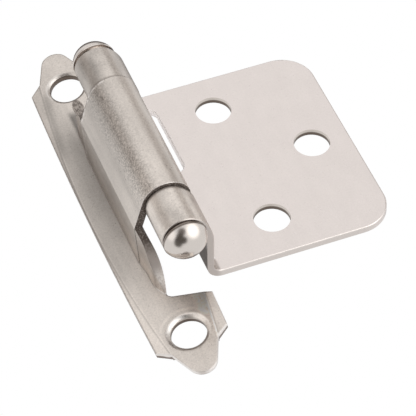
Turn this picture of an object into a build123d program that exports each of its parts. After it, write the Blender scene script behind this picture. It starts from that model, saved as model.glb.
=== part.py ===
from build123d import *
import os
from math import acos, asin, atan2, cos, degrees, radians, sin, sqrt, tan

# Self-closing cabinet door hinge, wrap-round pattern, in millimetres.
# The hinge is modelled about its pin first: the pin axis is Z, +Y runs back to the cabinet frame,
# the frame leaf lies on the +X side and the door leaf on the -X side. At the end everything is moved
# so that the origin lies midway between the two frame screws, on the plane that meets the cabinet.

# Frame leaf: one stamped sheet with two screw ears, a rise and the rolled barrel
frame_sheet = 1.25
pin_height = 12.3            # cabinet face to pin axis
screw_line_offset = 4.6      # pin axis to the line of the two frame screws
screw_spacing = 54.2
screw_hole_r = 2.75
countersink_r = 3.25
countersink_depth = 0.4
rim_round = 0.8              # rounding of the countersink's rim
leaf_length = 69.9           # tip to tip
ear_half_width = 5.68        # screw line to the side edges at the shoulders
edge_bow = 0.5               # how far the side edges swell out at mid-length
shoulder_outer_z = 28.3      # where the side edge turns into the shoulder
shoulder_inner_z = 29.7      # where the shoulder meets the rounded tip
lobe_half_width = 3.75
tip_radius = 2.25
lobe_lift = 0.6              # the tips are thinned from behind by this much
lobe_lift_start = 29.95
lobe_lift_run = 0.5
bevel_width_end = 1.75       # coined bevel along the side edges, wide at the shoulders
bevel_width_middle = 0.25
bevel_drop = 0.35
bend_offset = 6.6            # pin axis to the foot of the rise, on the leaf's front face
rise_lean = 5.8              # degrees that the rise leans to the pin
kink_depth = 2.96            # pin axis to the kink in the rise, measured toward the cabinet
barrel_radius = 3.9
barrel_length = 23.8
ear_edge_inner = (4.2, 20.05)  # the ear's edge beside the knuckle: from here
ear_edge_outer_z = 21.85       # to this height at the ear's side edge
lip_straight_z = 10.8        # the lip beside the knuckle starts to curve in here
lip_end_z = 19.0
lip_waist = (6.18, 14.6)     # outer foot of the lip and height where its curve eases
lip_hook = (6.02, 17.2)      # and where it turns in to its end
lip_swell = 0.15             # the lip is thicker than the sheet at its hook by this much
lip_end_foot = 5.35          # outer foot where the lip runs out
lip_end_width = 0.25
lip_shoulder = (16.2, 6.0)   # height and depth of a point on the lip's sloping top edge

# Door leaf: one bent sheet with the screw plate, the wall and two rolled knuckles
door_sheet = 1.15
plate_depth = 10.1           # pin axis to the plate's front face
wall_offset = 4.75           # pin axis to the wall's outer face
wall_curl_depth = 3.0        # where the wall starts to curl over to the knuckle
bend_radius = 1.4
knuckle_radius = 3.45
knuckle_seam = 0.3
door_leaf_length = 38.4
plate_reach = 34.6           # pin axis to the plate's far edge
plate_corner_radius = 5.4
door_hole_r = 2.85
near_hole_offset = 16.8      # pin axis to the two holes nearer the pin
near_hole_spacing = 24.4
far_hole_offset = 28.5
barrel_play = 0.7            # barrel to the bottom of the gap between the knuckles
gap_corner = 1.0
slot_near = 5.6              # pin axis to the near edge of the slot in the plate
slot_far = 8.3
slot_start = 1.9             # the slot runs below mid-height, from here
slot_end = 16.0              # to here
knuckle_gap = 0.2            # barrel end to knuckle
plate_edge_round = 0.25

# Pin, ball tips, bushes and spring
pin_radius = 1.5
running_gap = 0.05
bush_length = 2.8
groove_radius = 3.0
groove_width = 0.4
ball_radius = 3.45
ball_rim = 0.25              # band under the dome
rim_nick = 0.06              # fine line between the band and the dome
upper_dome = 2.5             # height of the domes
lower_dome = 2.7
tip_bore_depth = 0.9         # how far the pin reaches into the ball beyond the knuckle
wire_diameter = 0.8
coil_gap = 0.2               # pin to the inside of the coil
coil_pitch = 1.6
spring_end_gap = 0.3
tang_clearance = 0.04
leg_overhang = 0.4           # how far the spring's fixed leg stands out of the barrel
leg_play = 0.4               # width of the barrel's seam beyond the leg's own thickness
leg_touch = 0.02             # fixed leg to the roll's end, which it bears on

over_close = 10.3            # degrees that the spring folds the door leaf past flat

flat_front = pin_height - frame_sheet
barrel_bore = barrel_radius - frame_sheet
knuckle_bore = knuckle_radius - door_sheet
barrel_end = barrel_length / 2
knuckle_start = barrel_end + knuckle_gap
knuckle_end = door_leaf_length / 2


def polar(radius, angle):
    """Point at a radius and an angle in degrees about the pin axis."""
    return (radius * cos(radians(angle)), radius * sin(radians(angle)))


def crossing(p, q, normal_angle, distance):
    """Point where the line through p and q meets the line at a distance from the pin axis
    whose normal has the given angle."""
    nx, ny = polar(1, normal_angle)
    along = (distance - (nx * p[0] + ny * p[1])) / (nx * (q[0] - p[0]) + ny * (q[1] - p[1]))
    return (p[0] + along * (q[0] - p[0]), p[1] + along * (q[1] - p[1]))


def seam_angle(radius, bore, tangent_angle, gap):
    """Angle at which a roll ends, so that its outer corner stays the gap away from the inner face
    of the sheet that feeds it."""
    return tangent_angle + degrees(acos((bore - gap) / radius))


def prism(outline, y_back, y_front):
    """Extrude an outline drawn in X and Z from one depth forward to another."""
    return extrude(Plane.XZ.offset(-y_back) * outline, amount=y_back - y_front)


# Frame leaf: where the rise leaves the flat and where it runs on to the barrel
rise_slope = tan(radians(rise_lean))
kink = (bend_offset - (flat_front - kink_depth) * rise_slope, kink_depth)
rise_foot = (bend_offset + frame_sheet * rise_slope, pin_height)
inner_shift = frame_sheet / cos(radians(rise_lean))
kink_distance = sqrt(kink[0] ** 2 + kink[1] ** 2)
barrel_tangent = degrees(atan2(kink[1], kink[0]) - acos(barrel_radius / kink_distance))
inner_foot = (rise_foot[0] - inner_shift, pin_height)
inner_kink = crossing(inner_foot, (kink[0] - inner_shift, kink[1]), barrel_tangent, barrel_bore)
barrel_seam = seam_angle(barrel_radius, barrel_bore, barrel_tangent, wire_diameter + leg_play)
barrel_sweep = 360 - (barrel_seam - barrel_tangent)

# Door leaf: the wall curls over in one large arc that meets the knuckle's circle without a corner
curl_reach = wall_offset ** 2 + wall_curl_depth ** 2 - knuckle_radius ** 2
curl_radius = curl_reach / (2 * (wall_offset - knuckle_radius))
curl_centre = (curl_radius - wall_offset, wall_curl_depth)
curl_distance = curl_radius - knuckle_radius
curl_turn = degrees(atan2(curl_centre[1], curl_centre[0]))
knuckle_tangent = 180 + curl_turn
seam_reach = curl_radius - door_sheet - knuckle_seam
knuckle_seam_end = curl_turn + degrees(acos(
    (knuckle_radius ** 2 + curl_distance ** 2 - seam_reach ** 2) / (2 * knuckle_radius * curl_distance)
))
knuckle_sweep = 360 + knuckle_seam_end - knuckle_tangent
plate_back = plate_depth + door_sheet


def barrel_and_rise():
    """Section of the rise and the barrel, extruded over the barrel's length."""
    outline = make_face([
        Line(rise_foot, kink),
        Line(kink, polar(barrel_radius, barrel_tangent)),
        CenterArc((0, 0), barrel_radius, barrel_tangent, -barrel_sweep),
        Line(polar(barrel_radius, barrel_seam), polar(barrel_bore, barrel_seam)),
        CenterArc((0, 0), barrel_bore, barrel_tangent, -barrel_sweep),
        Line(polar(barrel_bore, barrel_tangent), inner_kink),
        Line(inner_kink, inner_foot),
        Line(inner_foot, rise_foot),
    ])
    return extrude(outline, amount=barrel_end, both=True)


def lip_feet():
    """Curved feet of a lip, outer and inner, at the depth of the cabinet face."""
    lean_out = rise_foot[0] - bend_offset
    outer = Spline(
        (rise_foot[0], lip_straight_z), (lip_waist[0] + lean_out, lip_waist[1]),
        (lip_hook[0] + lean_out, lip_hook[1]), (lip_end_foot, lip_end_z),
        tangents=[(0, 1), (-1, 2)],
    )
    inner = Spline(
        (inner_foot[0], lip_straight_z),
        (lip_hook[0] + lean_out - inner_shift - lip_swell, lip_hook[1]),
        (lip_end_foot - lip_end_width, lip_end_z),
        tangents=[(0, 1), (1, 2)],
    )
    return outer, inner


def side_reach(z):
    """Screw line to the bowed side edge at a height."""
    radius = (shoulder_outer_z ** 2 + edge_bow ** 2) / (2 * edge_bow)
    return ear_half_width + edge_bow - radius + sqrt(radius ** 2 - z ** 2)


def leaf_outline():
    """Outline of the flat part of the frame leaf, half drawn and then mirrored."""
    line = screw_line_offset
    side = line + ear_half_width
    edge_middle = (shoulder_outer_z + ear_edge_outer_z) / 2
    tip_centre_z = leaf_length / 2 - tip_radius
    # The tip arc ends where a straight side from the shoulder runs on to it
    reach = sqrt(lobe_half_width ** 2 + (tip_centre_z - shoulder_inner_z) ** 2)
    aim = degrees(atan2(shoulder_inner_z - tip_centre_z, lobe_half_width))
    meet = aim + degrees(acos(tip_radius / reach))
    dx, dz = polar(tip_radius, meet)
    half = [
        Line((side, shoulder_outer_z), (line + lobe_half_width, shoulder_inner_z)),
        Line((line + lobe_half_width, shoulder_inner_z), (line + dx, tip_centre_z + dz)),
        ThreePointArc((line + dx, tip_centre_z + dz), (line, leaf_length / 2), (line - dx, tip_centre_z + dz)),
        Line((line - dx, tip_centre_z + dz), (line - lobe_half_width, shoulder_inner_z)),
        Line((line - lobe_half_width, shoulder_inner_z), (line - ear_half_width, shoulder_outer_z)),
        ThreePointArc(
            (line - ear_half_width, shoulder_outer_z), (line - side_reach(edge_middle), edge_middle),
            (line - side_reach(ear_edge_outer_z), ear_edge_outer_z),
        ),
        Line((line - side_reach(ear_edge_outer_z), ear_edge_outer_z), ear_edge_inner),
        TangentArc(
            ear_edge_inner, (lip_end_foot - lip_end_width, lip_end_z),
            tangent=(
                ear_edge_inner[0] - line + side_reach(ear_edge_outer_z), ear_edge_inner[1] - ear_edge_outer_z
            ),
        ),
        lip_feet()[1],
    ]
    other_half = [mirror(edge, Plane.XZ) for edge in half]
    closing = [
        ThreePointArc((side, -shoulder_outer_z), (side + edge_bow, 0), (side, shoulder_outer_z)),
        Line((inner_foot[0], lip_straight_z), (inner_foot[0], -lip_straight_z)),
    ]
    return make_face(half + other_half + closing)


def bevel_cone(side):
    """Big flat cone whose rim is the coined bevel of a side edge; side is +1 or -1."""
    crease_middle = ear_half_width + edge_bow - bevel_width_middle
    crease_end = ear_half_width - bevel_width_end
    sagitta = crease_middle - crease_end
    radius = (shoulder_outer_z ** 2 + sagitta ** 2) / (2 * sagitta)
    spread = frame_sheet * bevel_width_end / bevel_drop
    centre = screw_line_offset + side * (crease_middle - radius)
    seat = Plane(origin=(centre, flat_front, 0), x_dir=(1, 0, 0), z_dir=(0, 1, 0))
    return seat * Cone(radius, radius + spread, frame_sheet, align=(Align.CENTER, Align.CENTER, Align.MIN))


def lips():
    """Low walls beside the knuckles, where the rise runs out into each ear."""
    outer, inner = lip_feet()
    foot = make_face([
        Line((inner_foot[0], 0), (rise_foot[0], 0)),
        Line((rise_foot[0], 0), (rise_foot[0], lip_straight_z)),
        outer,
        Line((lip_end_foot, lip_end_z), (lip_end_foot - lip_end_width, lip_end_z)),
        inner,
        Line((inner_foot[0], lip_straight_z), (inner_foot[0], 0)),
    ])
    wall = extrude(
        Plane.XZ.offset(-pin_height) * foot, amount=(pin_height - kink_depth) / cos(radians(rise_lean)),
        dir=(-sin(radians(rise_lean)), -cos(radians(rise_lean)), 0),
    )
    # Everything behind the sloping top edge, drawn in Y and Z and run through the wall
    far = rise_foot[0] + 1
    profile = make_face([
        ThreePointArc((kink_depth, barrel_end), (lip_shoulder[1], lip_shoulder[0]), (flat_front, lip_end_z)),
        Line((flat_front, lip_end_z), (pin_height, lip_end_z)),
        Line((pin_height, lip_end_z), (pin_height, 0)),
        Line((pin_height, 0), (kink_depth, 0)),
        Line((kink_depth, 0), (kink_depth, barrel_end)),
    ])
    keep = extrude(Plane.YZ * profile, amount=far)
    lip = wall & keep
    return lip + mirror(lip, Plane.XY)


def screw_seats():
    """Countersunk holes of the two ears, as cutters."""
    straight = frame_sheet - countersink_depth
    seat = Cylinder(screw_hole_r, straight, align=(Align.CENTER, Align.CENTER, Align.MIN))
    seat += Pos(0, 0, straight) * Cone(
        screw_hole_r, countersink_r, countersink_depth, align=(Align.CENTER, Align.CENTER, Align.MIN)
    )
    places = [(screw_line_offset, pin_height, s * screw_spacing / 2) for s in (-1, 1)]
    return [Plane(origin=place, x_dir=(1, 0, 0), z_dir=(0, -1, 0)) * seat for place in places]


def lobe_thinning():
    """What is taken off the back of a tip, for the +Z end."""
    thin = pin_height - lobe_lift
    profile = make_face(Polyline(
        (pin_height, lobe_lift_start), (thin, lobe_lift_start + lobe_lift_run), (thin, leaf_length / 2),
        (pin_height, leaf_length / 2), close=True,
    ))
    return Pos(screw_line_offset, 0, 0) * extrude(Plane.YZ * profile, amount=lobe_half_width + 1, both=True)


def frame_leaf():
    flat = prism(leaf_outline(), pin_height, flat_front)
    flat = flat & bevel_cone(1) & bevel_cone(-1)
    flat -= lobe_thinning()
    flat -= mirror(lobe_thinning(), Plane.XY)
    leaf = flat + barrel_and_rise() + lips()
    for seat in screw_seats():
        leaf -= seat
    rims = [
        e for e in leaf.edges().filter_by(GeomType.CIRCLE)
        if abs(e.radius - countersink_r) < 0.01 and abs(e.center().Y - flat_front) < 0.01
    ]
    return fillet(rims, rim_round)


def door_section():
    """Section of the plate, the wall and a knuckle."""
    inside = wall_offset - door_sheet
    corner = bend_radius + door_sheet
    return make_face([
        Line((-plate_reach, plate_depth), (-wall_offset - bend_radius, plate_depth)),
        RadiusArc((-wall_offset - bend_radius, plate_depth), (-wall_offset, plate_depth - bend_radius), bend_radius),
        Line((-wall_offset, plate_depth - bend_radius), (-wall_offset, wall_curl_depth)),
        CenterArc(curl_centre, curl_radius, 180, curl_turn),
        CenterArc((0, 0), knuckle_radius, knuckle_tangent, knuckle_sweep),
        Line(
            polar(knuckle_radius, knuckle_tangent + knuckle_sweep),
            polar(knuckle_bore, knuckle_tangent + knuckle_sweep),
        ),
        CenterArc((0, 0), knuckle_bore, knuckle_tangent, knuckle_sweep),
        CenterArc(curl_centre, curl_radius - door_sheet, 180, curl_turn),
        Line((-inside, wall_curl_depth), (-inside, plate_back - corner)),
        RadiusArc((-inside, plate_back - corner), (-inside - corner, plate_back), -corner),
        Line((-inside - corner, plate_back), (-plate_reach, plate_back)),
        Line((-plate_reach, plate_back), (-plate_reach, plate_depth)),
    ])


def door_leaf():
    leaf = extrude(door_section(), amount=knuckle_end, both=True)
    corners = [e for e in leaf.edges().filter_by(Axis.Y) if abs(e.center().X + plate_reach) < 0.01]
    leaf = fillet(corners, plate_corner_radius)
    # The gap that takes the barrel
    gap_depth = barrel_radius + barrel_play + knuckle_radius
    gap = Box(2 * wall_offset, gap_depth, 2 * knuckle_start, align=(Align.CENTER, Align.MAX, Align.CENTER))
    gap = fillet(gap.edges().filter_by(Axis.X).group_by(Axis.Y)[-1], gap_corner)
    leaf -= Pos(0, barrel_radius + barrel_play, 0) * gap
    face = Plane(origin=(0, plate_depth, 0), x_dir=(1, 0, 0), z_dir=(0, -1, 0))
    holes = [(near_hole_offset, s * near_hole_spacing / 2) for s in (-1, 1)] + [(far_hole_offset, 0)]
    for offset, height in holes:
        leaf -= face * Pos(-offset, height, 0) * Cylinder(door_hole_r, 3 * door_sheet)
    slot = SlotOverall(slot_end - slot_start, slot_far - slot_near, rotation=90)
    slot = extrude(slot, amount=2 * door_sheet, both=True)
    leaf -= face * Pos(-(slot_near + slot_far) / 2, -(slot_start + slot_end) / 2, 0) * slot
    front = leaf.faces().filter_by(lambda f: abs(f.center().Y - plate_depth) < 0.01).sort_by(SortBy.AREA)[-1]
    outline = [e for e in front.outer_wire().edges() if e.center().X < -wall_offset - bend_radius - 0.01]
    return fillet(outline, plate_edge_round)


def hinge_pin():
    """Plain pin with the cross hole that holds the spring's inner tang."""
    length = 2 * (knuckle_end + tip_bore_depth)
    pin = Cylinder(pin_radius, length)
    cross = Pos(0, 0, coil_half) * Rot(0, 90, 0) * Cylinder(wire_diameter / 2 + tang_clearance, 3 * pin_radius)
    return pin - cross


def ball_tip(dome_height):
    """Polished dome, band, dark groove and the sleeve that sits in the knuckle, for the +Z end."""
    seat = knuckle_end
    rim = seat + groove_width
    band = rim + ball_rim
    top = band + rim_nick + dome_height
    dome_radius = (ball_radius ** 2 + dome_height ** 2) / (2 * dome_height)
    dome_middle = polar(dome_radius, 45)
    section = make_face([
        Line((0, knuckle_start), (knuckle_bore, knuckle_start)),
        Line((knuckle_bore, knuckle_start), (knuckle_bore, seat)),
        Line((knuckle_bore, seat), (groove_radius, seat)),
        Line((groove_radius, seat), (groove_radius, rim)),
        Line((groove_radius, rim), (ball_radius, rim)),
        Line((ball_radius, rim), (ball_radius, band)),
        Line((ball_radius, band), (ball_radius - rim_nick, band + rim_nick / 2)),
        Line((ball_radius - rim_nick, band + rim_nick / 2), (ball_radius, band + rim_nick)),
        ThreePointArc(
            (ball_radius, band + rim_nick), (dome_middle[0], top - dome_radius + dome_middle[1]), (0, top)
        ),
        Line((0, top), (0, knuckle_start)),
    ])
    tip = revolve(Plane.XZ * section, Axis.Z)
    bore = Cylinder(pin_radius, knuckle_end + tip_bore_depth, align=(Align.CENTER, Align.CENTER, Align.MIN))
    return tip - bore


def barrel_bush():
    """Plain bush in the barrel's end, which the pin turns in, for the +Z end."""
    bush = Cylinder(barrel_bore, bush_length, align=(Align.CENTER, Align.CENTER, Align.MAX))
    bush -= Cylinder(pin_radius + running_gap, 2 * bush_length)
    return Pos(0, 0, barrel_end) * bush


coil_radius = pin_radius + coil_gap + wire_diameter / 2
coil_half = barrel_end - bush_length - spring_end_gap - wire_diameter / 2
coil_length = 2 * coil_half
leg_angle = barrel_seam - degrees(asin((wire_diameter / 2 + leg_touch) / barrel_bore))


def torsion_spring():
    """Close coil round the pin: one leg out through the barrel's seam, one tang in the pin's cross hole."""
    wire_radius = wire_diameter / 2
    turns = coil_length / coil_pitch
    path = Helix(coil_pitch, coil_length, coil_radius)
    start = path @ 0
    section = Plane(origin=start, z_dir=path % 0) * Circle(wire_radius)
    coil = Pos(0, 0, -coil_half) * sweep(section, path=path)
    end_angle = 360 * turns
    leg = Rot(0, 90, 0) * Cylinder(
        wire_radius, barrel_radius + leg_overhang - coil_radius, align=(Align.CENTER, Align.CENTER, Align.MIN)
    )
    fixed_leg = Pos(coil_radius, 0, -coil_half) * (leg + Sphere(wire_radius))
    tang = Rot(0, -90, 0) * Cylinder(wire_radius, 2 * coil_radius, align=(Align.CENTER, Align.CENTER, Align.MIN))
    inner_tang = Rot(0, 0, end_angle) * (Pos(coil_radius, 0, coil_half) * (tang + Sphere(wire_radius)))
    return Rot(0, 0, leg_angle) * (coil + fixed_leg + inner_tang)


def place(shape, swing=0):
    """Turn a piece about the pin and move it so that the origin lies between the frame screws."""
    return Pos(-screw_line_offset, -pin_height, 0) * Rot(0, 0, swing) * shape


tang_angle = leg_angle + 360 * coil_length / coil_pitch
nodes = {
    "frame_leaf": place(frame_leaf()),
    "door_leaf": place(door_leaf(), -over_close),
    "hinge_pin": place(hinge_pin(), tang_angle),
    "ball_tip_lower": place(mirror(ball_tip(lower_dome), Plane.XY)),
    "ball_tip_upper": place(ball_tip(upper_dome)),
    "barrel_bush_lower": place(mirror(barrel_bush(), Plane.XY)),
    "barrel_bush_upper": place(barrel_bush()),
    "torsion_spring": place(torsion_spring()),
}

os.makedirs("parts", exist_ok=True)
for name, shape in nodes.items():
    solids = shape.solids()
    export_step(solids[0] if len(solids) == 1 else shape, f"parts/{name}.step")
    box = shape.bounding_box()
    print(f"{name}: {len(solids)} solid, volume {shape.volume:.2f}, size {box.size.X:.2f} {box.size.Y:.2f} {box.size.Z:.2f}")
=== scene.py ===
# %% [markdown]
# # A spring loaded cabinet hinge
# The hinge is stamped from two steel sheets, plated with nickel and tumbled to a satin. This notebook
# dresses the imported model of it: first the camera and the studio, then one finish for each kind of
# surface. No shape is added, since all of the hinge's forms are solids of the model. Everything is in
# metres, in the model's own frame: +Z runs along the pin and -Y out of the cabinet.

import bpy
import numpy as np
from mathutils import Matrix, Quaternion, Vector

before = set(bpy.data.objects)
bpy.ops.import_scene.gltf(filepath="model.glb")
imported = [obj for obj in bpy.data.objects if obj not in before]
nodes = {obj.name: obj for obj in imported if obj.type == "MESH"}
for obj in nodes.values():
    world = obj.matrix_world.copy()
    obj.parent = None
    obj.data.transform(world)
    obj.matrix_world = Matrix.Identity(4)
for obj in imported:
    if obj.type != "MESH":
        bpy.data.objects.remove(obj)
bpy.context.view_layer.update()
mm = 0.001
print("nodes:", sorted(nodes))

# %% [markdown]
# ## The camera
# The photograph looks down on the hinge's front from its ball-tipped end, with a long lens, so the
# leaves hardly taper. A camera can be placed by three plain facts: where it stands, the point it looks
# at, and how far it is turned about its own line of sight. Tracking that line gives an upright view,
# and one turn about it then lays the pin across the picture as the photograph has it.

# %% Place the camera
camera_place = Vector((29.31, -304.19, 252.87)) * mm
camera_aim = Vector((-11.55, 2.05, 4.43)) * mm
camera_turn = 152.194        # degrees from the picture's up to the pin's +Z end, clockwise
sensor_width = 36            # millimetres
lens_length = 223.495        # millimetres

camera = bpy.data.objects.new("camera", bpy.data.cameras.new("camera"))
bpy.context.scene.collection.objects.link(camera)
camera.data.sensor_width = sensor_width
camera.data.lens = lens_length
camera.data.clip_start = 0.01
camera.data.clip_end = 10
camera.location = camera_place
sight = (camera_aim - camera_place).to_track_quat("-Z", "Y")
camera.rotation_mode = "QUATERNION"
camera.rotation_quaternion = sight @ Quaternion((0, 0, 1), np.radians(camera_turn))
bpy.context.scene.camera = camera
bpy.context.scene.view_settings.view_transform = "Standard"
print("the camera stands", round((camera_aim - camera_place).length, 4), "m from the hinge")

# %% [markdown]
# ## The studio
# The photograph is a cut-out on pure white. Bare metal has hardly any look of its own: it shows the
# room. So the room is a white tent. It can be built from sheets of cloth and lamps, or, more simply,
# painted straight onto the world as soft round patches, each with a direction and a half-angle. The
# camera sees plain white behind the hinge, while the metal sees the tent.

# %% Write the patch of tent
def patch(tree, below, direction, inner, outer, colour):
    """Blend a colour over the one below, inside a cone of directions: all of it nearer than the inner
    angle to the patch's own direction, none of it past the outer one, with a smooth step between."""
    look = tree.nodes.new("ShaderNodeTexCoord")
    facing = tree.nodes.new("ShaderNodeVectorMath")
    facing.operation = "DOT_PRODUCT"
    facing.inputs[1].default_value = Vector(direction).normalized()
    tree.links.new(look.outputs["Generated"], facing.inputs[0])
    falloff = tree.nodes.new("ShaderNodeMapRange")
    falloff.interpolation_type = "SMOOTHSTEP"
    falloff.inputs["From Min"].default_value = np.cos(np.radians(outer))
    falloff.inputs["From Max"].default_value = np.cos(np.radians(inner))
    tree.links.new(facing.outputs["Value"], falloff.inputs["Value"])
    blend = tree.nodes.new("ShaderNodeMix")
    blend.data_type = "RGBA"
    blend.inputs["B"].default_value = (*colour, 1)
    tree.links.new(falloff.outputs["Result"], blend.inputs["Factor"])
    if isinstance(below, tuple):
        blend.inputs["A"].default_value = (*below, 1)
    else:
        tree.links.new(below, blend.inputs["A"])
    return blend.outputs["Result"]


def toward(azimuth, height):
    """Direction from an azimuth about +Z, counted from +X, and a height above the level, in degrees."""
    turn, lift = np.radians(azimuth), np.radians(height)
    return (np.cos(lift) * np.cos(turn), np.cos(lift) * np.sin(turn), np.sin(lift))


print("front of the cabinet lies toward", [round(float(part), 2) for part in toward(-90, 0)])

# %% Paint the tent on the world
world = bpy.data.worlds.new("tent")
bpy.context.scene.world = world
world.use_nodes = True
tent = world.node_tree
tent.nodes.clear()
cloth = (0.86, 0.855, 0.85)
# Each row has an azimuth, a height, the inner and the outer angle, all in degrees, and a colour.
# A later row lies over an earlier one.
tent_patches = (
    (-108, -38, 25, 60, (1.00, 0.99, 0.98)),
    (32, -38, 8, 26, (0.98, 0.97, 0.96)),
    (-34, -40, 6, 28, (0.64, 0.60, 0.57)),
    (-165, -30, 5, 24, (0.42, 0.38, 0.35)),
    (97, -38, 10, 27, (0.13, 0.105, 0.095)),
    (104, -60, 16, 31, (0.12, 0.10, 0.09)),
    (-143, 28, 9, 42, (1.8, 1.78, 1.75)),
    (-32, 6, 4, 30, (1.20, 1.18, 1.16)),
    (78, 20, 8, 24, (0.48, 0.43, 0.40)),
    (90, -8, 6, 16, (0.20, 0.17, 0.16)),
    (-83, 25, 8, 24, (0.18, 0.16, 0.15)),
    (-34, 48, 10, 27, (0.06, 0.05, 0.05)),
    (-60, 40, 6, 24, (0.09, 0.08, 0.07)),
    (-10, 48, 6, 22, (0.12, 0.11, 0.10)),
    (-60, 62, 8, 23, (0.10, 0.09, 0.08)),
)
shade_of_tent = cloth
for azimuth, lift, inner, outer, tint in tent_patches:
    shade_of_tent = patch(tent, shade_of_tent, toward(azimuth, lift), inner, outer, tint)
room = tent.nodes.new("ShaderNodeBackground")
room.inputs["Strength"].default_value = 1.0
tent.links.new(shade_of_tent, room.inputs["Color"])
backdrop = tent.nodes.new("ShaderNodeBackground")
backdrop.inputs["Color"].default_value = (1, 1, 1, 1)
backdrop.inputs["Strength"].default_value = 1.0
path = tent.nodes.new("ShaderNodeLightPath")
choose = tent.nodes.new("ShaderNodeMixShader")
tent.links.new(path.outputs["Is Camera Ray"], choose.inputs["Fac"])
tent.links.new(room.outputs[0], choose.inputs[1])
tent.links.new(backdrop.outputs[0], choose.inputs[2])
world_out = tent.nodes.new("ShaderNodeOutputWorld")
tent.links.new(choose.outputs[0], world_out.inputs["Surface"])
print("patches on the tent:", len(tent_patches))

# %% [markdown]
# ## The floor
# The floor lies far under the hinge, so its shadow falls outside the picture, as on a cut-out. A plain
# pale sheet would be enough, but the metal would mirror it and lose the lower half of the tent. So the
# camera sees it white, mirror rays pass through it, and all other light meets matt plaster.

# %% Lay the floor
floor_drop = 0.45            # metres below the hinge
floor_size = 8.0
plaster_shade = (0.9, 0.9, 0.9, 1)
corners = np.array([(-1, -1, 0), (1, -1, 0), (1, 1, 0), (-1, 1, 0)], float) * floor_size / 2
corners[:, 2] = -floor_drop
floor_mesh = bpy.data.meshes.new("floor")
floor_mesh.from_pydata(corners.tolist(), [], [(0, 1, 2, 3)])
floor = bpy.data.objects.new("floor", floor_mesh)
bpy.context.scene.collection.objects.link(floor)
floor_paint = bpy.data.materials.new("floor_paint")
floor_paint.use_nodes = True
paint = floor_paint.node_tree
plaster = paint.nodes["Principled BSDF"]
plaster.inputs["Base Color"].default_value = plaster_shade
plaster.inputs["Roughness"].default_value = 0.9
seen = paint.nodes.new("ShaderNodeLightPath")
white = paint.nodes.new("ShaderNodeEmission")
white.inputs["Color"].default_value = (1, 1, 1, 1)
white.inputs["Strength"].default_value = 1.0
clear = paint.nodes.new("ShaderNodeBsdfTransparent")
for_camera = paint.nodes.new("ShaderNodeMixShader")
for_metal = paint.nodes.new("ShaderNodeMixShader")
paint.links.new(seen.outputs["Is Camera Ray"], for_camera.inputs["Fac"])
paint.links.new(plaster.outputs[0], for_camera.inputs[1])
paint.links.new(white.outputs[0], for_camera.inputs[2])
paint.links.new(seen.outputs["Is Glossy Ray"], for_metal.inputs["Fac"])
paint.links.new(for_camera.outputs[0], for_metal.inputs[1])
paint.links.new(clear.outputs[0], for_metal.inputs[2])
paint.links.new(for_metal.outputs[0], paint.nodes["Material Output"].inputs["Surface"])
floor_mesh.materials.append(floor_paint)
print("floor", floor_drop, "m below the hinge")

# %% [markdown]
# ## The lamp
# One broad disc stands in front of the hinge, on the door's side and toward the pin's +Z end. It gives
# the round forms a soft bright side that the tent alone leaves flat. A small lamp would draw hard spots
# on the ball.

# %% Hang the lamp
def soft_lamp(name, place, size, radiance):
    """Disc lamp that faces the hinge; its power is pi times its area times the brightness it shows."""
    data = bpy.data.lights.new(name, "AREA")
    data.shape = "DISK"
    data.size = size
    data.energy = np.pi * np.pi * size ** 2 / 4 * radiance
    lamp = bpy.data.objects.new(name, data)
    bpy.context.scene.collection.objects.link(lamp)
    lamp.location = place
    lamp.rotation_mode = "QUATERNION"
    lamp.rotation_quaternion = (-Vector(place)).to_track_quat("-Z", "Y")
    return lamp


lamp_distance = 0.6          # metres
lamp_size = 0.22             # metres across
lamp_radiance = 1.3          # the tent's cloth shows 0.86
side_lamp = soft_lamp("side_lamp", Vector(toward(-140, 27)) * lamp_distance, lamp_size, lamp_radiance)
print("lamp:", side_lamp.name)

# %% [markdown]
# ## Tumbled nickel
# Both leaves are steel strip with a thin nickel plate, tumbled so that the gloss is broken by fine
# dents. Close up the metal has a grain of about a quarter of a millimetre, soft streaks along the
# rolling direction, and cloudy patches. A picture of metal could carry all that, but noise in the
# object's own coordinates follows the part in any view. The grain goes into the bump, where it sparkles
# only where the room changes from light to dark, and the streaks and clouds go into the colour.

# %% Set sockets and do sums
def put(tree, socket, value):
    """Set a socket's own value, or link it when the value comes from another node."""
    if isinstance(value, bpy.types.NodeSocket):
        tree.links.new(value, socket)
    elif isinstance(value, tuple) and len(value) == 3 and socket.type == "RGBA":
        socket.default_value = (*value, 1)
    else:
        socket.default_value = value


def calc(tree, operation, *terms):
    """One sum, product or other operation on numbers or sockets."""
    node = tree.nodes.new("ShaderNodeMath")
    node.operation = operation
    for socket, term in zip(node.inputs, terms):
        put(tree, socket, term)
    return node.outputs[0]


def plus(tree, first, second):
    """The sum of two values."""
    return calc(tree, "ADD", first, second)


def minus(tree, first, second):
    """The first value less the second."""
    return calc(tree, "SUBTRACT", first, second)


def every(tree, *masks):
    """Where all the masks hold, and by how much: their product."""
    total = masks[0]
    for mask in masks[1:]:
        total = calc(tree, "MULTIPLY", total, mask)
    return total


def size_of(tree, value):
    """A value without its sign."""
    return calc(tree, "ABSOLUTE", value)


print("sums ready")

# %% Write soft steps
def step(tree, value, low, high):
    """0 below low, 1 above high and a smooth rise between them; high may be the smaller one."""
    node = tree.nodes.new("ShaderNodeMapRange")
    node.interpolation_type = "SMOOTHSTEP"
    put(tree, node.inputs["Value"], value)
    node.inputs["From Min"].default_value = low
    node.inputs["From Max"].default_value = high
    return node.outputs["Result"]


def mm_step(tree, value, low, high):
    """The same step, with its two ends in millimetres."""
    return step(tree, value, low * mm, high * mm)


def turn_step(tree, value, low, high):
    """The same step, with its two ends in degrees."""
    return step(tree, value, np.radians(low), np.radians(high))


print("steps ready")

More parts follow.
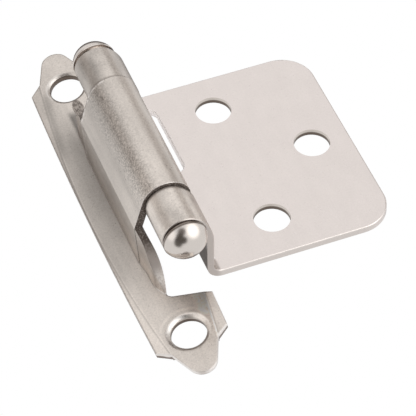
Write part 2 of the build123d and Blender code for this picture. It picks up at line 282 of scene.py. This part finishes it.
# %% Measure where a point is
def noise(tree, repeats, detail=2.0):
    """Noise in object coordinates, with so many features in a metre along X, Y and Z."""
    place = tree.nodes.new("ShaderNodeTexCoord")
    stretch = tree.nodes.new("ShaderNodeMapping")
    stretch.inputs["Scale"].default_value = repeats
    node = tree.nodes.new("ShaderNodeTexNoise")
    node.inputs["Scale"].default_value = 1.0
    node.inputs["Detail"].default_value = detail
    tree.links.new(place.outputs["Object"], stretch.inputs["Vector"])
    tree.links.new(stretch.outputs["Vector"], node.inputs["Vector"])
    return node.outputs["Fac"]


def along(tree, direction, kind="Object"):
    """How far a point lies along a direction, in metres, or how much its surface faces that way."""
    place = tree.nodes.new("ShaderNodeTexCoord")
    node = tree.nodes.new("ShaderNodeVectorMath")
    node.operation = "DOT_PRODUCT"
    node.inputs[1].default_value = direction
    tree.links.new(place.outputs[kind], node.inputs[0])
    return node.outputs["Value"]


def ring(tree, centre, axis):
    """Distance of a point from the line through a centre along an axis."""
    place = tree.nodes.new("ShaderNodeTexCoord")
    shift = tree.nodes.new("ShaderNodeVectorMath")
    shift.operation = "SUBTRACT"
    shift.inputs[1].default_value = centre
    tree.links.new(place.outputs["Object"], shift.inputs[0])
    cross = tree.nodes.new("ShaderNodeVectorMath")
    cross.operation = "CROSS_PRODUCT"
    cross.inputs[1].default_value = Vector(axis).normalized()
    tree.links.new(shift.outputs["Vector"], cross.inputs[0])
    length = tree.nodes.new("ShaderNodeVectorMath")
    length.operation = "LENGTH"
    tree.links.new(cross.outputs["Vector"], length.inputs[0])
    return length.outputs["Value"]


print("measures ready")

# %% Blend and shade colours
warm_nickel = (0.694, 0.640, 0.593)
pale_nickel = (0.772, 0.714, 0.689)
burnish_and_highlight = (0.90, 0.86, 0.83)
edge_and_seat_shade = (0.24, 0.20, 0.175)
sheared_steel_and_gap_shade = (0.160, 0.128, 0.108)
corner_shade_brown = (0.20, 0.165, 0.145)


def mix(tree, factor, first, second):
    """Blend two colours by a factor."""
    node = tree.nodes.new("ShaderNodeMix")
    node.data_type = "RGBA"
    put(tree, node.inputs["Factor"], factor)
    put(tree, node.inputs["A"], first)
    put(tree, node.inputs["B"], second)
    return node.outputs["Result"]


def shade(tree, colour, factor):
    """Multiply a colour by a number."""
    scale = tree.nodes.new("ShaderNodeVectorMath")
    scale.operation = "SCALE"
    put(tree, scale.inputs[0], colour)
    put(tree, scale.inputs["Scale"], factor)
    return scale.outputs["Vector"]


def darker(tree, colour, amount):
    """Take a share of a colour away: the colour times one less the amount."""
    return shade(tree, colour, minus(tree, 1.0, amount))


def lighter(tree, colour, amount):
    """Add a share of a colour to it: the colour times one plus the amount."""
    return shade(tree, colour, plus(tree, 1.0, amount))


print("colours:", warm_nickel, pale_nickel, burnish_and_highlight, sheared_steel_and_gap_shade)

# %% Write the nickel finish
satin = 0.34                 # roughness of the tumbled plate
usual_gloss = 0.5            # the shader's own level of specular light


def new_metal(name, roughness):
    """A bare metal shader to build on."""
    material = bpy.data.materials.new(name)
    material.use_nodes = True
    shader = material.node_tree.nodes["Principled BSDF"]
    shader.inputs["Metallic"].default_value = 1.0
    shader.inputs["Roughness"].default_value = roughness
    return material, material.node_tree, shader


def tumbled(tree, shader, colour, streak, cloud, grain, dent, edge_round=0.0):
    """Tumbled surface: colour times one plus streaks, clouds and grain, each a noise about its middle;
    roughness follows the grain, and the dents stand a few micrometres high. With an edge radius, in
    millimetres, the edges are rounded, and the rounded normal is given back too."""
    fine = noise(tree, (3800, 3800, 3800), 1.0)
    streaks = noise(tree, (1500, 1500, 110), 2.0)
    clouds = noise(tree, (420, 420, 260), 3.0)
    total = 1.0
    for amount, source in ((streak, streaks), (cloud, clouds), (grain, fine)):
        swing = every(tree, minus(tree, source, 0.5), 4.0)
        total = plus(tree, every(tree, swing, amount), total)
    rough = plus(tree, every(tree, minus(tree, fine, 0.5), 0.25), satin)
    put(tree, shader.inputs["Roughness"], rough)
    bump = tree.nodes.new("ShaderNodeBump")
    bump.inputs["Strength"].default_value = 1.0
    bump.inputs["Distance"].default_value = dent * mm
    tree.links.new(fine, bump.inputs["Height"])
    tree.links.new(bump.outputs["Normal"], shader.inputs["Normal"])
    if edge_round:
        rounded = tree.nodes.new("ShaderNodeBevel")
        rounded.samples = 4
        rounded.inputs["Radius"].default_value = edge_round * mm
        tree.links.new(rounded.outputs["Normal"], bump.inputs["Normal"])
        return shade(tree, colour, total), rounded.outputs["Normal"]
    return shade(tree, colour, total)


print("the grain repeats about every", round(1000 / 3800, 2), "mm")

# %% [markdown]
# ## Painted light and shade on edges and in corners
# Rounded edges get a painted highlight on the side that faces the pin's +Z end and painted shade on the
# side away from it, and corners get painted shade. The edge could be modelled, but here the difference
# between the rounded normal and the flat one finds it. Painted shade isn't metal: where it lies, the
# surface must stop mirroring, or it turns pale at a low angle. So the same mask that paints it also
# lowers the metal and the gloss.

# %% Write the painted light and shade for edges and corners
def edged(tree, colour, rounded, amount=0.8):
    """Rounded edges: a painted highlight where they face the pin's +Z end, and painted shade on the side
    away from it.
    """
    place = tree.nodes.new("ShaderNodeNewGeometry")
    facing = tree.nodes.new("ShaderNodeVectorMath")
    facing.operation = "DOT_PRODUCT"
    tree.links.new(rounded, facing.inputs[0])
    tree.links.new(place.outputs["True Normal"], facing.inputs[1])
    lift = tree.nodes.new("ShaderNodeVectorMath")
    lift.operation = "DOT_PRODUCT"
    lift.inputs[1].default_value = (-0.3, 0, 1)
    tree.links.new(rounded, lift.inputs[0])
    edge = every(tree, step(tree, facing.outputs["Value"], 0.99, 0.93), amount)
    edge_light_and_shade = mix(tree, step(tree, lift.outputs["Value"], -0.05, 0.15), edge_and_seat_shade, burnish_and_highlight)
    return mix(tree, edge, colour, edge_light_and_shade)


def shade_corners(tree, colour, reach, darkest, shade_and_bare_steel=corner_shade_brown):
    """Painted shade: darken a colour towards a shade colour in corners that less light reaches, within
    the reach.
    """
    corner = tree.nodes.new("ShaderNodeAmbientOcclusion")
    corner.samples = 8
    corner.inputs["Distance"].default_value = reach
    amount = every(tree, step(tree, corner.outputs["AO"], 0.85, 0.25), darkest)
    return mix(tree, amount, colour, shade_and_bare_steel)


def cover(tree, shader, colour, shade_and_bare_steel):
    """Give the shader its colour, and take metal and gloss away by the given share, where bare steel,
    painted shade and painted white lie.
    """
    metal_share = minus(tree, 1.0, shade_and_bare_steel)
    tree.links.new(colour, shader.inputs["Base Color"])
    tree.links.new(metal_share, shader.inputs["Metallic"])
    tree.links.new(every(tree, metal_share, usual_gloss), shader.inputs["Specular IOR Level"])


print("wear and dirt ready")

# %% [markdown]
# ## The frame leaf
# The strip was sheared, coined and rolled. The rolled side of the barrel, its crown and the valley
# beside the rise get painted shade, and the rise and the barrel's -Z rim painted highlights. A coined
# crease runs along each side edge, drawn as a line of painted shade with a painted highlight beside it.
# The sheared edges are bright near the front, where the punch burnished them, and torn and brown behind.
# Every mark is a mask made from the point's own place: an angle about the pin, a distance from a screw's
# axis, a height along the pin. So a mark stays on its spot of metal when the hinge moves or the view
# changes.

# %% Mark where things are on the frame leaf
pin = np.array((-4.6, -12.3, 0.0)) * mm
screw_height = 27.1          # millimetres from the middle of the strip to each screw
leaf_metal, tree, shader = new_metal("frame_leaf_nickel", satin)
x, y, z = (along(tree, axis) for axis in ((1, 0, 0), (0, 1, 0), (0, 0, 1)))
height = size_of(tree, z)
turn = calc(tree, "ARCTAN2", minus(tree, y, float(pin[1])), minus(tree, x, float(pin[0])))
raised = mm_step(tree, y, -1.3, -1.5)
flat = minus(tree, 1.0, raised)
rolled_side = every(tree, raised, turn_step(tree, turn, -95, -52))
lip_part = mm_step(tree, height, 11.6, 14.5)
speckled = every(tree, rolled_side, turn_step(tree, turn, 5, -30))
from_screws = [ring(tree, (0, 0, place * mm), (0, 1, 0)) for place in (-screw_height, screw_height)]
from_screw = calc(tree, "MINIMUM", *from_screws)
past_seat = mm_step(tree, from_screw, 3.9, 4.0)
print("marks:", len(tree.nodes), "nodes")

# %% Paint shade on the rolled side and the crown of the barrel
rolled_shade, less_shade_at_end, less_shade_at_lip = 0.34, 0.13, 0.07
upper_shade, crown_shade = 0.12, 0.11
grain = plus(tree, every(tree, speckled, 0.30), 0.11)
colour, rounded = tumbled(tree, shader, warm_nickel, streak=0.05, cloud=0.06, grain=grain, dent=0.010,
                          edge_round=0.33)
# Painted shade on the rolled side of the barrel, less towards its +Z end and on the lips, more in the
# speckled band and on the crown towards its -Z end
less_shade_toward_end = every(tree, mm_step(tree, z, 1, 11), less_shade_at_end)
rolled_side_shade = minus(tree, minus(tree, rolled_shade, less_shade_toward_end), every(tree, lip_part, less_shade_at_lip))
colour = darker(tree, colour, every(tree, rolled_side, rolled_side_shade))
colour = darker(tree, colour, every(tree, speckled, mm_step(tree, z, 4, -8), upper_shade))
crown = every(tree, raised, turn_step(tree, turn, -128, -108), turn_step(tree, turn, -60, -78))
colour = darker(tree, colour, every(tree, crown, mm_step(tree, z, 9, -3), crown_shade))
print("barrel:", len(tree.nodes), "nodes")

# %% Paint shade in the valley and at the foot of the rise
valley_shade, more_shade_at_foot, less_shade_at_low_end, foot_shade = 0.35, 0.30, 0.08, 0.62
# Painted shade in the valley beside the rise, deepest near the rise, and darker painted shade at the
# foot of the rise towards -Z
foot_side = minus(tree, every(tree, mm_step(tree, z, 14, -3), more_shade_at_foot), less_shade_at_low_end)
valley_shade_amount = plus(tree, every(tree, mm_step(tree, x, 6.2, 2.2), foot_side), valley_shade)
ends = every(tree, mm_step(tree, z, 22, 9), mm_step(tree, z, -26, -13))
valley = every(tree, flat, ends, mm_step(tree, x, 0.8, 1.6), valley_shade_amount)
colour = darker(tree, colour, valley)
foot = every(tree, flat, mm_step(tree, x, 2.0, 1.3), mm_step(tree, x, -0.2, 0.3))
foot = every(tree, foot, mm_step(tree, z, -22.5, -20.5), mm_step(tree, z, -12, -16), foot_shade)
colour = darker(tree, colour, foot)
print("valley:", len(tree.nodes), "nodes")

# %% Paint light on the rise and a highlight on the barrel's rim
rise_highlight, face_highlight, rim_highlight = 0.38, 0.12, 0.7
# Painted highlights: the rise and its face are lightened, and a dotted highlight in the burnished colour
# is painted on the barrel's rim at its -Z end
rise_glow = every(tree, raised, mm_step(tree, y, -6.2, -3.0), mm_step(tree, x, 1.0, 1.6))
colour = lighter(tree, colour, every(tree, rise_glow, mm_step(tree, z, -13, -4), rise_highlight))
rise_face = every(tree, raised, turn_step(tree, turn, 0, 12))
colour = lighter(tree, colour, every(tree, rise_face, face_highlight))
rim = every(tree, raised, mm_step(tree, z, -11.35, -11.65), mm_step(tree, z, -12.0, -11.9))
rim = every(tree, rim, step(tree, noise(tree, (1200, 1200, 1200)), 0.40, 0.55))
colour = mix(tree, every(tree, rim, turn_step(tree, turn, -95, -70), rim_highlight), colour, burnish_and_highlight)
print("rise and rim:", len(tree.nodes), "nodes")

# %% Paint the creases as lines of shade with highlights
crease_centre = 195.29 * mm  # each crease is an arc about a point far out on the other side
crease_radius = 201.22 * mm
crease_shade = 0.25


def from_crease_centre(tree, side):
    """Distance from the axis that the crease on one side turns about: 1 is the outer, -1 the door's."""
    return ring(tree, (-side * crease_centre, 0, 0), (0, 1, 0))


for side, crease_highlight in ((1, 0.12), (-1, 0.5)):
    outside = minus(tree, from_crease_centre(tree, side), crease_radius)
    # Each crease is a thin line of painted shade with a painted highlight just beside it
    line = every(tree, mm_step(tree, outside, -0.02, 0.05), mm_step(tree, outside, 0.34, 0.12), flat)
    glint = every(tree, mm_step(tree, outside, -0.30, -0.08), mm_step(tree, outside, 0.04, -0.02), flat)
    colour = darker(tree, colour, every(tree, line, crease_shade))
    colour = lighter(tree, colour, every(tree, glint, crease_highlight))
print("creases:", len(tree.nodes), "nodes")

# %% Paint shade and light on the ears and the strips beside the creases
# Painted shade beside the door's crease at the +Z ear, painted light on the +Z ear, brightest by that
# crease, painted shade on the -Z ear, painted light outside the outer crease towards +Z, and painted
# shade on a strip inside the outer crease towards -Z
door_side = step(tree, from_crease_centre(tree, -1), crease_radius, crease_radius + 0.1 * mm)
door_side = every(tree, flat, door_side, mm_step(tree, x, 0, -1), mm_step(tree, z, 19, 21))
door_side_shade = plus(tree, 0.14, every(tree, mm_step(tree, z, 28, 24), 0.20))
colour = darker(tree, colour, every(tree, door_side, door_side_shade))
lit_end = every(tree, flat, mm_step(tree, z, 19, 20), mm_step(tree, z, 31, 28))
lit_end = every(tree, lit_end, mm_step(tree, x, 1.0, -0.5), 0.17)
by_crease = every(tree, lit_end, mm_step(tree, x, -2.2, -3.6), mm_step(tree, z, 28, 24), 2.2)
colour = lighter(tree, colour, plus(tree, lit_end, by_crease))
ear_shade = plus(tree, every(tree, mm_step(tree, x, 1, 4), 0.10), 0.08)
colour = darker(tree, colour, every(tree, flat, mm_step(tree, z, -20, -25), ear_shade))
reach = from_crease_centre(tree, 1)
outer_side_light = every(tree, flat, mm_step(tree, x, 0, 1), mm_step(tree, reach, 201.2, 201.3))
colour = lighter(tree, colour, every(tree, outer_side_light, mm_step(tree, z, 2, 9), 0.16))
strip = every(tree, flat, mm_step(tree, reach, 199.7, 200.9), mm_step(tree, reach, 201.32, 201.2))
strip = every(tree, strip, mm_step(tree, z, -11, -17), mm_step(tree, z, -28.5, -26))
colour = darker(tree, colour, every(tree, strip, 0.30))
# Painted shade in the corners, and a painted highlight and painted shade on the rounded edges
corner_shade = plus(tree, every(tree, flat, 0.4), 0.08)
colour = shade_corners(tree, colour, 1.0 * mm, corner_shade)
colour = edged(tree, colour, rounded)
print("ears:", len(tree.nodes), "nodes")

# %% [markdown]
# ## The screw seats
# Each countersink is a plain cone that looks like two halves: the one that leans to the light gets a
# painted highlight and the other painted shade, and painted light rings the +Z seat. The hole's wall
# shows plated metal in front and bare sheared steel behind. A distance from the screw's axis can't tell
# the halves apart, so their masks read the surface's normal.

# %% Paint light and shade on the screw seats, and finish the holes
seat_highlight_colour = (0.90, 0.87, 0.84)
# Painted light rings the +Z seat; a painted highlight lies on the half of each seat that leans to the
# light, and painted shade on the half that faces away
seat_rim = every(tree, flat, past_seat, mm_step(tree, from_screw, 4.55, 4.3))
seat_rim = every(tree, seat_rim, mm_step(tree, z, 26, 24.5), mm_step(tree, z, 20, 21))
colour = lighter(tree, colour, every(tree, seat_rim, 0.12))
seat = every(tree, mm_step(tree, from_screw, 4.0, 3.5), flat)
lean = along(tree, (-0.8, 0, 0.6), "Normal")
seat_light = plus(tree, 0.4, every(tree, mm_step(tree, z, -1, 1), 0.5))
seat_highlight = every(tree, seat, step(tree, lean, 0.05, 0.3), seat_light)
colour = mix(tree, seat_highlight, colour, seat_highlight_colour)
shaded_seat = every(tree, seat, step(tree, along(tree, (0, 0, 1), "Normal"), -0.15, -0.35))
colour = mix(tree, every(tree, shaded_seat, 0.9), colour, edge_and_seat_shade)
wall = mm_step(tree, from_screw, 2.83, 2.78)
deep = calc(tree, "MAXIMUM", mm_step(tree, y, -0.75, -0.55), mm_step(tree, z, -20, -21))
colour = mix(tree, wall, colour, mix(tree, deep, warm_nickel, sheared_steel_and_gap_shade))
print("seats:", len(tree.nodes), "nodes")

# %% [markdown]
# ## The cut edges and the lips
# A sheared edge is burnished for the front half of its depth and torn behind, with an uneven line
# between. The lips beside the barrel's ends are torn all over, brown, with painted shade darkest where
# they leave the barrel. They could be left to the painted corner shade, but that would also darken the
# rolled faces.

# %% Tear the cut edges and the lips
torn_steel = (0.26, 0.215, 0.19)
lip_shade_darkest, lip_brown, lip_pale = (0.13, 0.105, 0.09), (0.45, 0.40, 0.37), (0.78, 0.73, 0.69)
speck_colour = (0.46, 0.41, 0.38)
upright = step(tree, size_of(tree, along(tree, (0, 1, 0), "Normal")), 0.6, 0.4)
torn_line = plus(tree, y, every(tree, noise(tree, (900, 900, 900)), 0.5 * mm))
torn = mix(tree, mm_step(tree, torn_line, -0.35, -0.15), burnish_and_highlight, torn_steel)
colour = mix(tree, every(tree, flat, upright, past_seat), colour, torn)
facing_ends = step(tree, size_of(tree, along(tree, (0, 0, 1), "Normal")), 0.12, 0.3)
specks = step(tree, noise(tree, (4200, 2400, 4200), 2.0), 0.46, 0.66)
# The lips' brown: painted shade darkest where they leave the barrel, paler towards the far ends, with
# specks of torn steel over it
brown = mix(tree, mm_step(tree, height, 13.4, 16.2), lip_shade_darkest, lip_brown)
brown = mix(tree, mm_step(tree, height, 16.6, 18.2), brown, lip_pale)
torn_and_shaded_lip = mix(tree, every(tree, specks, 0.55), brown, speck_colour)
colour = mix(tree, every(tree, raised, facing_ends), colour, torn_and_shaded_lip)
print("cut edges:", len(tree.nodes), "nodes")

# %% Streak a brown patch near the -Z ear and join the finish
mark_x = calc(tree, "DIVIDE", plus(tree, x, 0.25 * mm), 0.85 * mm)
mark_z = calc(tree, "DIVIDE", plus(tree, z, 21.9 * mm), 1.9 * mm)
mark = plus(tree, every(tree, mark_x, mark_x), every(tree, mark_z, mark_z))
patch_streaks = step(tree, noise(tree, (5200, 900, 1500), 2.0), 0.42, 0.60)
streaked_patch = mix(tree, patch_streaks, (0.11, 0.09, 0.08), (0.34, 0.30, 0.27))
colour = mix(tree, every(tree, flat, step(tree, mark, 1.3, 0.85), 0.85), colour, streaked_patch)
bare = every(tree, raised, facing_ends, mm_step(tree, height, 17.5, 15.5), 0.85)
# Metal and gloss are taken away on the torn lips and on the painted shade of the seats
cover(tree, shader, colour, calc(tree, "MAXIMUM", bare, every(tree, shaded_seat, 0.85)))
print("frame leaf:", len(tree.nodes), "nodes")

# %% [markdown]
# ## The door leaf
# Its plate is smoother and paler than the rest, faintly clouded, because it lay flat in the tumbler.
# The rolled knuckles match the barrel, with cloudier metal, and get bands of painted shade and painted
# highlight, with painted shade next to the barrel's ends. The wall's inner face gets dark painted shade,
# and the slot's cut walls are painted white like the backdrop seen through them. The plate begins where
# the wall ends, so the distance from the pin along the plate blends one into the other. The plate stands
# 10.3 degrees past flat in the resting hinge, so places on it are measured along its own turned
# directions.

# %% Mark where things are on the door leaf
fold = np.radians(10.3)
plate_way = np.array((-np.cos(fold), np.sin(fold), 0.0))
plate_face = np.array((np.sin(fold), np.cos(fold), 0.0))
door_metal, tree, shader = new_metal("door_leaf_nickel", satin)
from_pin = minus(tree, along(tree, plate_way), float(pin @ plate_way))
depth = minus(tree, along(tree, plate_face), float(pin @ plate_face))
z = along(tree, (0, 0, 1))
height = size_of(tree, z)
on_plate = mm_step(tree, from_pin, 4.2, 6.2)
cloudy = minus(tree, 0.21, every(tree, on_plate, 0.19))
streaky = minus(tree, 0.07, every(tree, on_plate, 0.062))
grain = minus(tree, 0.13, every(tree, on_plate, 0.10))
base = mix(tree, on_plate, warm_nickel, pale_nickel)
colour = tumbled(tree, shader, base, streak=streaky, cloud=cloudy, grain=grain, dent=0.004)
rolled = mm_step(tree, from_pin, 5.0, 4.6)
turn = calc(tree, "ARCTAN2", depth, every(tree, from_pin, -1.0))
print("door leaf's marks:", len(tree.nodes), "nodes")

# %% Paint shade and highlights on the knuckles
side_shade, upper_roll_shade, band_shade, band_highlight, gap_shade = 0.24, 0.14, 0.14, 0.16, 0.6
upper = mm_step(tree, z, 0, -1)
lower = mm_step(tree, z, 0, 1)
# Painted shade on the -Z knuckle, deeper on one side; a band of painted shade beside a band of painted
# highlight on the +Z knuckle; painted shade in the sheared steel's colour next to the barrel's ends, and
# painted shade in the corners
upper_side = every(tree, rolled, turn_step(tree, turn, -96, -50), upper)
colour = darker(tree, colour, every(tree, upper_side, side_shade))
colour = darker(tree, colour, every(tree, rolled, upper, upper_roll_shade))
shaded_band = every(tree, turn_step(tree, turn, -95, -75), turn_step(tree, turn, -35, -52))
colour = darker(tree, colour, every(tree, rolled, lower, shaded_band, band_shade))
lit_band = every(tree, turn_step(tree, turn, -155, -138), turn_step(tree, turn, -95, -112))
colour = lighter(tree, colour, every(tree, rolled, lower, lit_band, band_highlight))
gap_shade_mask = every(tree, rolled, mm_step(tree, height, 12.75, 12.2), gap_shade)
colour = mix(tree, gap_shade_mask, colour, sheared_steel_and_gap_shade)
colour = mix(tree, rolled, colour, shade_corners(tree, colour, 1.0 * mm, 0.6))
print("knuckles:", len(tree.nodes), "nodes")

# %% Paint shade inside the wall and white on the slot's walls, and finish the holes
wall_shade_brown = (0.105, 0.083, 0.07)
slot_white = (0.97, 0.93, 0.92)
# Painted shade: the wall's inner face is dark brown. Painted light: the slot's cut walls are white,
# standing for the pale backdrop seen through the slot
inner_face = step(tree, along(tree, -plate_way, "Normal"), 0.6, 0.85)
shaded_inner_wall = every(tree, inner_face, rolled, mm_step(tree, depth, 1.0, 5.5))
colour = mix(tree, shaded_inner_wall, colour, wall_shade_brown)
not_face = step(tree, size_of(tree, along(tree, plate_face, "Normal")), 0.995, 0.96)
slot_wall = every(tree, not_face, mm_step(tree, depth, 9.5, 9.8), mm_step(tree, height, 17, 16.5))
slot_wall = every(tree, slot_wall, mm_step(tree, from_pin, 5.4, 5.5), mm_step(tree, from_pin, 8.6, 8.4))
colour = mix(tree, slot_wall, colour, slot_white)
holes = ((16.8, 12.2), (16.8, -12.2), (28.5, 0.0))
for offset, place in holes:
    centre = pin + plate_way * offset * mm + np.array((0, 0, place * mm))
    wall = mm_step(tree, ring(tree, centre, plate_face), 2.89, 2.86)
    cut = mix(tree, mm_step(tree, depth, 10.5, 10.75), warm_nickel, sheared_steel_and_gap_shade)
    colour = mix(tree, wall, colour, cut)
print("wall, slot and", len(holes), "holes:", len(tree.nodes), "nodes")

# %% Finish the plate's cut ends and join the finish
wall_cut, plate_cut = (0.56, 0.51, 0.48), (0.74, 0.69, 0.66)
facing_ends = step(tree, size_of(tree, along(tree, (0, 0, 1), "Normal")), 0.4, 0.6)
sheared_end = mix(tree, mm_step(tree, from_pin, 4.9, 6.2), wall_cut, plate_cut)
at_cut = every(tree, facing_ends, mm_step(tree, height, 18.9, 19.1))
colour = mix(tree, at_cut, colour, sheared_end)
# Metal and gloss are taken away on the wall's painted shade and on the slot's painted white
shade_and_bare_steel = calc(tree, "MAXIMUM", every(tree, shaded_inner_wall, 0.9), every(tree, slot_wall, 0.8))
cover(tree, shader, colour, shade_and_bare_steel)
print("door leaf:", len(tree.nodes), "nodes")

# %% [markdown]
# ## The ball tips, the pin and the parts inside
# The tips are turned and polished, so they mirror the tent and the dark gap where the camera stands.
# Their turning marks, fine rings about the pin, break the mirror, and the +Z tip gets painted shade in
# its corners and a ring of painted shade at the base of its dome. The pin, the bushes and the spring are
# hardly seen: plain ground steel, moulded acetal and oiled wire.

# %% Finish the tips
tip_nickel = (0.72, 0.67, 0.63)
tip_shade_brown = (0.16, 0.12, 0.10)
groove_dark = (0.15, 0.12, 0.10)
tip_metal, tree, shader = new_metal("polished_nickel", 0.14)
marks = noise(tree, (400, 400, 9000), 2.0)
put(tree, shader.inputs["Roughness"], plus(tree, every(tree, marks, 0.14), 0.12))
z = along(tree, (0, 0, 1))
far_tip = mm_step(tree, z, -1, 1)
# Painted shade in the corners of the +Z tip, and a ring of painted shade at the base of its dome
colour = shade_corners(tree, tip_nickel, 0.5 * mm, every(tree, far_tip, 0.9), tip_shade_brown)
under_dome = mm_step(tree, z, 20.15, 19.9)
colour = mix(tree, every(tree, far_tip, under_dome, 0.85), colour, groove_dark)
tree.links.new(colour, shader.inputs["Base Color"])
print("tips:", len(tree.nodes), "nodes")

# %% Finish the hidden parts
pin_metal, tree, shader = new_metal("ground_steel", 0.3)
lay = noise(tree, (300, 300, 8000), 2.0)
tree.links.new(mix(tree, lay, (0.50, 0.49, 0.47), (0.60, 0.59, 0.57)), shader.inputs["Base Color"])

wire_metal, tree, shader = new_metal("oiled_wire", 0.3)
oil = noise(tree, (900, 900, 900), 2.0)
tree.links.new(mix(tree, oil, (0.20, 0.19, 0.18), (0.34, 0.33, 0.31)), shader.inputs["Base Color"])

bush_plastic = bpy.data.materials.new("moulded_acetal")
bush_plastic.use_nodes = True
tree = bush_plastic.node_tree
shader = tree.nodes["Principled BSDF"]
shader.inputs["Roughness"].default_value = 0.45
haze = noise(tree, (500, 500, 500), 2.0)
tree.links.new(mix(tree, haze, (0.76, 0.75, 0.71), (0.82, 0.81, 0.78)), shader.inputs["Base Color"])
print("hidden parts:", pin_metal.name, wire_metal.name, bush_plastic.name)

# %% [markdown]
# ## Dress the model
# Each node of the model gets the finish that its name begins with, so the two tips share one finish and
# the two bushes another.

# %% Give each node its finish
finishes = {
    "frame_leaf": leaf_metal,
    "door_leaf": door_metal,
    "hinge_pin": pin_metal,
    "ball_tip": tip_metal,
    "barrel_bush": bush_plastic,
    "torsion_spring": wire_metal,
}
for name, node in nodes.items():
    finish = next(value for key, value in finishes.items() if name.startswith(key))
    for index in range(len(node.material_slots)):
        node.material_slots[index].material = finish
print("finishes:", len(finishes))
